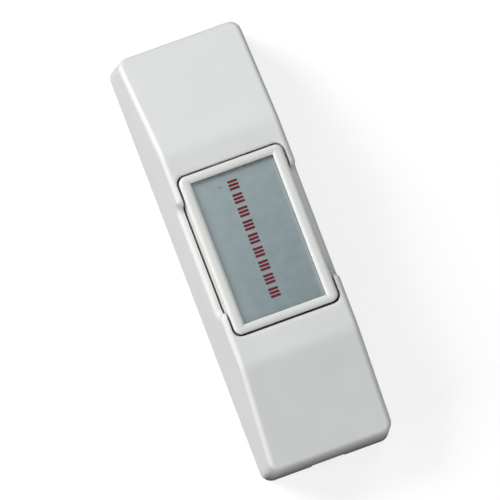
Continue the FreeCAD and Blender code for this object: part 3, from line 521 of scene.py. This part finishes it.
tree, size = sized_tree("mark_column", MARKS)
oblong = {"Width": size["Bar Length"], "Height": size["Bar Width"]}
outline = add(tree, "GeometryNodeCurvePrimitiveQuadrilateral", links=oblong)
corner = {"Curve": outline.outputs[0], "Radius": size["Corner Radius"]}
softened = add(tree, "GeometryNodeFilletCurve", {"Count": CORNER_SIDES}, corner, mode="POLY")
face = add(tree, "GeometryNodeFillCurve", links={"Curve": softened.outputs[0]}, mode="NGONS")
rise = {"Mesh": face.outputs[0], "Offset Scale": size["Ink Thickness"]}
raised = add(tree, "GeometryNodeExtrudeMesh", {"Individual": False}, rise)
under = add(tree, "GeometryNodeFlipFaces", links={"Mesh": face.outputs[0]})
both = add(tree, "GeometryNodeJoinGeometry")
for half_bar in (raised, under):
    tree.links.new(half_bar.outputs[0], both.inputs[0])
weld = {"Distance": WELD * MM}
bar = add(tree, "GeometryNodeMergeByDistance", weld, {"Geometry": both.outputs[0]})

steps = {"Count": size["Bars"], "Offset": step_down(tree, size["Bar Pitch"])}
bars = add(tree, "GeometryNodeMeshLine", links=steps)
bar_on_each = {"Points": bars.outputs[0], "Instance": bar.outputs[0]}
group = add(tree, "GeometryNodeInstanceOnPoints", links=bar_on_each)
steps = {
    "Count": size["Groups"],
    "Start Location": size["First Bar"],
    "Offset": step_down(tree, size["Group Pitch"]),
}
groups = add(tree, "GeometryNodeMeshLine", links=steps)
group_on_each = {"Points": groups.outputs[0], "Instance": group.outputs[0]}
column = add(tree, "GeometryNodeInstanceOnPoints", links=group_on_each)
end_tree(tree, column.outputs[0], ink)

marks = grow("printed_marks", tree, MARKS)
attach(marks, "button")


# Plate adhesive. A die-cut piece of acrylic transfer tape between the plate and the recess floor.
# It shows only when the plate is off.
TAPE_COLOUR = "#DAD8CB"
TAPE_SHADE = "#D2CFC0"
TAPE_ROUGHNESS = 0.3

# Acrylic adhesive, cast as a thin layer: a milky, slightly yellow film with a moist sheen.
tape = moulded_plastic("acrylic_transfer_tape", TAPE_COLOUR, TAPE_SHADE, TAPE_ROUGHNESS)
dress(nodes["plate_adhesive"], tape)


# Base plate. The ABS moulding that the two wall screws hold. It carries the contact block and the
# two bosses for the button's guide posts, and the cover snaps onto its rim.
BASE_COLOUR = "#D3D4D1"
BASE_SHADE = "#CDCECB"
BASE_ROUGHNESS = 0.5

# ABS of another batch, kept out of sight: as satin as the cover, and a shade darker.
base_abs = moulded_plastic("moulded_abs_base", BASE_COLOUR, BASE_SHADE, BASE_ROUGHNESS)
dress(nodes["base_plate"], base_abs)


# Contact carrier. A moulded block of black glass-filled nylon that insulates the brass strips. Two
# small screws hold it down on the base.
CARRIER_COLOUR = "#232426"
CARRIER_SHADE = "#2B2C2E"
CARRIER_ROUGHNESS = 0.58

# Nylon with short glass fibres in it: a dull charcoal, flatter than the ABS round it.
nylon = moulded_plastic("glass_filled_nylon", CARRIER_COLOUR, CARRIER_SHADE, CARRIER_ROUGHNESS)
dress(nodes["contact_carrier"], nylon)


# Return springs. Two coils of plated music wire under the ends of the button, each round one of
# its guide posts. Both ends are ground flat.
WIRE_COLOUR = "#B4B8BB"
WIRE_SHADE = "#9EA3A7"
WIRE_ROUGHNESS = 0.3
# Each metal's run is the size of its lines along each axis. Real lines are a few hundredths of a
# millimetre wide, and these are drawn coarser, so that they show from close by.
WIRE_RUN = (0.1, 0.1, 0.1)
TARNISH_SIZE = 3.0
LINE_SPREAD = 0.06
LINE_STRENGTH = 0.5
LINE_DEPTH = 0.002
WIRE_SIDES = 12
WIRE_CREASE_DEG = 50
POINTS_PER_TURN = 32
SPRING_LENGTH = 13.3
SPRING_FOOT = 2.05
SPRING_PLACES = {"upper_return_spring": 12.3, "lower_return_spring": -12.3}
SPRING = {
    "Foot": (0.0, 0.0, 0.0),
    "Wire Radius": 0.25 * MM,
    "Coil Radius": 2.35 * MM,
    "Turns": 5.0,
    "Length": SPRING_LENGTH * MM,
    "Wire Sides": WIRE_SIDES,
}


def worked_metal(name, colour, shade, roughness, run):
    """A metal with the fine lines that drawing, rolling or turning left on it, and some tarnish."""
    material, tree = new_material(name)
    tarnished = drifting_colour(tree, millimetres(tree), TARNISH_SIZE, colour, shade)
    lines = worked_lines(tree, run, roughness, LINE_SPREAD, LINE_STRENGTH, LINE_DEPTH)
    opaque_surface(tree, {"Metallic": 1.0}, {"Base Color": tarnished, **lines})
    return material


# Music wire, zinc plated: a cold light grey with bright glints along each turn.
wire = worked_metal("zinc_plated_music_wire", WIRE_COLOUR, WIRE_SHADE, WIRE_ROUGHNESS, WIRE_RUN)

coil_tree, size = sized_tree("wound_coil", SPRING)
winding = {
    "Rotations": size["Turns"],
    "Start Radius": size["Coil Radius"],
    "End Radius": size["Coil Radius"],
    "Height": size["Length"],
}
helix = add(coil_tree, "GeometryNodeCurveSpiral", {"Resolution": POINTS_PER_TURN}, winding)
helix_line = {"Curve": helix.outputs[0]}
upright = add(coil_tree, "GeometryNodeSetCurveNormal", links=helix_line, mode="Z_UP")
round_wire = {"Resolution": size["Wire Sides"], "Radius": size["Wire Radius"]}
section = add(coil_tree, "GeometryNodeCurvePrimitiveCircle", links=round_wire)
sweep = {"Curve": upright.outputs[0], "Profile Curve": section.outputs[0]}
tube = add(coil_tree, "GeometryNodeCurveToMesh", {"Fill Caps": True}, sweep)
position = add(coil_tree, "GeometryNodeInputPosition")
apart = add(coil_tree, "ShaderNodeSeparateXYZ", links={"Vector": position.outputs[0]})
grinding = {"Value": apart.outputs["Z"], "Max": size["Length"]}
ground = add(coil_tree, "ShaderNodeClamp", {"Min": 0.0}, grinding)
flattened = {"X": apart.outputs["X"], "Y": apart.outputs["Y"], "Z": ground.outputs[0]}
flat_ends = add(coil_tree, "ShaderNodeCombineXYZ", links=flattened)
standing = {"Geometry": tube.outputs[0], "Position": flat_ends.outputs[0], "Offset": size["Foot"]}
coil = add(coil_tree, "GeometryNodeSetPosition", links=standing)
end_tree(coil_tree, coil.outputs[0], wire)

for node, y in SPRING_PLACES.items():
    foot = (0.0, y * MM, SPRING_FOOT * MM)
    spring = grow(f"{node}_coil", coil_tree, {**SPRING, "Foot": foot})
    spring.data.shade_smooth()
    spring.data.set_sharp_from_angle(angle=math.radians(WIRE_CREASE_DEG))
    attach(spring, "housing")
    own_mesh(spring)
    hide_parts(node)


# Terminal strips. Three strips blanked from rolled brass sheet lie on the carrier, each with a
# pad at the cable end. One of them turns up and comes back over the leaf.
BRASS_COLOUR = "#C8A355"
BRASS_SHADE = "#B78F46"
ROLLED_ROUGHNESS = 0.34
ROLLED_RUN = (0.15, 4.0, 0.15)

# Rolled brass: a warm yellow metal, half bright, with fine lines along the strips.
brass = worked_metal("rolled_brass", BRASS_COLOUR, BRASS_SHADE, ROLLED_ROUGHNESS, ROLLED_RUN)
for node in ("common_terminal", "normally_open_terminal", "normally_closed_terminal"):
    dress(nodes[node], brass)


# Contact leaf. A spring of thin phosphor bronze, riveted at its root. Its stem bends when the
# button's nose pushes the cross bar down, and the root stays flat on its strip. The nose bears on a
# shallow square seat, coined in the bar.
BRONZE_COLOUR = "#B9835C"
BRONZE_SHADE = "#A8734B"
BRONZE_ROUGHNESS = 0.28
BRONZE_RUN = (0.12, 3.0, 0.12)
# The stem bends between these two places, and the copy is cut across in even steps from the first
# to the second.
LEAF_BEND = (0.0, -5.0, 5.0)
LEAF_RAMP_END = (0.0, 1.5, 7.6)
LEAF_CUTS = 14
LEAF_UPPER_FACE = 7.69
SEAT_CENTRE = (0.0, 4.93)
SEAT_REACH = 1.15
SEAT_WALL = 0.12
SEAT_DEPTH = 0.08
FLAT_DEG = 0.5
CREASE_DEG = 35


def merged_copy(node):
    """A copy of a CAD node's triangles, merged to one closed skin of flat faces."""
    shape = bmesh.new()
    source = nodes[node].data
    points = [shape.verts.new(vertex.co) for vertex in source.vertices]
    for polygon in source.polygons:
        shape.faces.new([points[i] for i in polygon.vertices])
    bmesh.ops.remove_doubles(shape, verts=shape.verts, dist=WELD * MM)
    flat = math.radians(FLAT_DEG)
    bmesh.ops.dissolve_limit(shape, angle_limit=flat, verts=shape.verts, edges=shape.edges)
    return shape


def settle(shape, name, material):
    """The finished object of a shape, smooth except across its sharp edges."""
    mesh = bpy.data.meshes.new(name)
    shape.to_mesh(mesh)
    shape.free()
    mesh.materials.append(material)
    mesh.shade_smooth()
    mesh.set_sharp_from_angle(angle=math.radians(CREASE_DEG))
    piece = bpy.data.objects.new(name, mesh)
    scene.collection.objects.link(piece)
    return piece


def cut_across(shape, axis, place):
    """Adds edges to a shape where this place along the axis, in millimetres, crosses it."""
    normal = [0.0, 0.0, 0.0]
    normal[axis] = 1.0
    bmesh.ops.bisect_plane(
        shape,
        geom=[*shape.verts, *shape.edges, *shape.faces],
        plane_co=[n * place * MM for n in normal],
        plane_no=normal,
        dist=WELD * MM,
    )


# Phosphor bronze, rolled hard: a reddish brown metal, smoother and brighter than the strips.
bronze = worked_metal("phosphor_bronze", BRONZE_COLOUR, BRONZE_SHADE, BRONZE_ROUGHNESS, BRONZE_RUN)
shape = merged_copy("contact_leaf")
for i in range(LEAF_CUTS + 1):
    cut_across(shape, 1, LEAF_BEND[1] + (LEAF_RAMP_END[1] - LEAF_BEND[1]) * i / LEAF_CUTS)
for axis, centre in enumerate(SEAT_CENTRE):
    for reach in (SEAT_REACH, SEAT_REACH + SEAT_WALL):
        cut_across(shape, axis, centre - reach)
        cut_across(shape, axis, centre + reach)
for vertex in shape.verts:
    away = [abs(vertex.co[axis] / MM - centre) for axis, centre in enumerate(SEAT_CENTRE)]
    on_upper_face = vertex.co.z > (LEAF_UPPER_FACE - SEAT_DEPTH) * MM
    if on_upper_face and max(away) < SEAT_REACH + SEAT_WALL / 2:
        vertex.co.z -= SEAT_DEPTH * MM
leaf = settle(shape, "bending_contact_leaf", bronze)
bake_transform(leaf)
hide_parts("contact_leaf")


# Rivet and contacts. A turned brass rivet holds the leaf to its strip. The contacts are discs of
# silver, welded on.
TURNED_ROUGHNESS = 0.26
TURNED_RUN = (0.2, 0.2, 0.05)
SILVER_COLOUR = "#D6D5D1"
SILVER_SHADE = "#BDBBB6"
SILVER_ROUGHNESS = 0.3
SILVER_RUN = (0.3, 0.3, 0.3)

# Turned brass: the strips' yellow, brighter, with fine rings round the head's edge.
turned = worked_metal("turned_brass", BRASS_COLOUR, BRASS_SHADE, TURNED_ROUGHNESS, TURNED_RUN)
dress(nodes["leaf_rivet"], turned)

# Fine silver: the whitest metal here, slightly dulled by its use.
silver = worked_metal("fine_silver", SILVER_COLOUR, SILVER_SHADE, SILVER_ROUGHNESS, SILVER_RUN)
for node in ("moving_contacts", "normally_open_contact", "normally_closed_contact"):
    dress(nodes[node], silver)


# Screws. Slotted screws of nickel-plated steel, with threads that run up to the head. Three clamp
# the cable's cores at the terminals, and two hold the carrier down on the base.
STEEL_COLOUR = "#B3B5B6"
STEEL_SHADE = "#9C9FA1"
STEEL_ROUGHNESS = 0.32
STEEL_RUN = (0.2, 0.2, 0.2)
HEAD_BEVEL = 0.12
HEAD_BEVEL_SIDES = 2
HEAD_BEVEL_FULLNESS = 0.6
HEAD_EDGE_DEG = 50
HEAD_BELOW_SEAT = 1.0
SHANK_SLACK = 0.02
THREAD_SIDES = 4
TERMINAL_PITCH = 7.122
TERMINAL_ROW = -21.739
# Each place is a screw's axis across and along the housing, and the height of its head's seat.
SCREWS = {
    "terminal_screws": {
        "places": [(x, TERMINAL_ROW, 5.7) for x in (-TERMINAL_PITCH, 0.0, TERMINAL_PITCH)],
        "radius": 1.25,
        "core": 0.98,
        "tip": 2.7,
        "pitch": 0.45,
    },
    "carrier_screws": {
        "places": [(0.0, -17.439, 4.9), (0.0, 1.6, 4.4)],
        "radius": 0.9,
        "core": 0.68,
        "tip": 0.6,
        "pitch": 0.6,
    },
}

# Nickel plating on steel: a bright grey metal, a trace warmer than zinc.
steel = worked_metal("nickel_plated_steel", STEEL_COLOUR, STEEL_SHADE, STEEL_ROUGHNESS, STEEL_RUN)
for node, screws in SCREWS.items():
    shape = merged_copy(node)
    slim = screws["core"] / screws["radius"]
    widest = (screws["radius"] + SHANK_SLACK) * MM
    for x, y, seat in screws["places"]:
        axis = Vector((x, y, 0)) * MM
        for vertex in shape.verts:
            out = Vector((vertex.co.x, vertex.co.y, 0)) - axis
            on_shank = out.length < widest and vertex.co.z < (seat + SHANK_SLACK) * MM
            if on_shank and out.length > screws["core"] * MM / 2:
                vertex.co.x = axis.x + out.x * slim
                vertex.co.y = axis.y + out.y * slim
    rims = []
    lowest = (screws["places"][0][2] - HEAD_BELOW_SEAT) * MM
    for edge in shape.edges:
        above = min(vertex.co.z for vertex in edge.verts) > lowest
        crisp = edge.calc_face_angle(0.0) > math.radians(HEAD_EDGE_DEG)
        if above and crisp and edge.is_convex:
            rims.append(edge)
    bmesh.ops.bevel(
        shape,
        geom=rims,
        offset=HEAD_BEVEL * MM,
        segments=HEAD_BEVEL_SIDES,
        profile=HEAD_BEVEL_FULLNESS,
        affect="EDGES",
        clamp_overlap=True,
    )
    for x, y, seat in screws["places"]:
        length = seat - screws["tip"]
        sizes = {
            "Foot": (x * MM, y * MM, screws["tip"] * MM),
            "Wire Radius": (screws["radius"] - screws["core"]) * MM,
            "Coil Radius": screws["core"] * MM,
            "Turns": length / screws["pitch"],
            "Length": length * MM,
            "Wire Sides": THREAD_SIDES,
        }
        thread = grow("thread", coil_tree, sizes)
        shape.from_mesh(thread.data)
        bpy.data.objects.remove(thread)
    for face in shape.faces:
        face.material_index = 0
    piece = settle(shape, f"threaded_{node}", steel)
    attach(piece, "housing")
    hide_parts(node)


# Washers and nuts. Square clamp washers grip the cores, and the square nuts sit in pockets of the
# carrier, which keep them from turning. Both are blanked from steel sheet and plated.
BLANKED_ROUGHNESS = 0.38
BLANKED_RUN = (0.15, 0.15, 2.0)

# Blanked and plated steel: the screws' grey, duller, with upright lines on the sheared edges.
blanked = worked_metal(
    "blanked_plated_steel", STEEL_COLOUR, STEEL_SHADE, BLANKED_ROUGHNESS, BLANKED_RUN
)
for node in ("clamp_washers", "terminal_nuts"):
    dress(nodes[node], blanked)
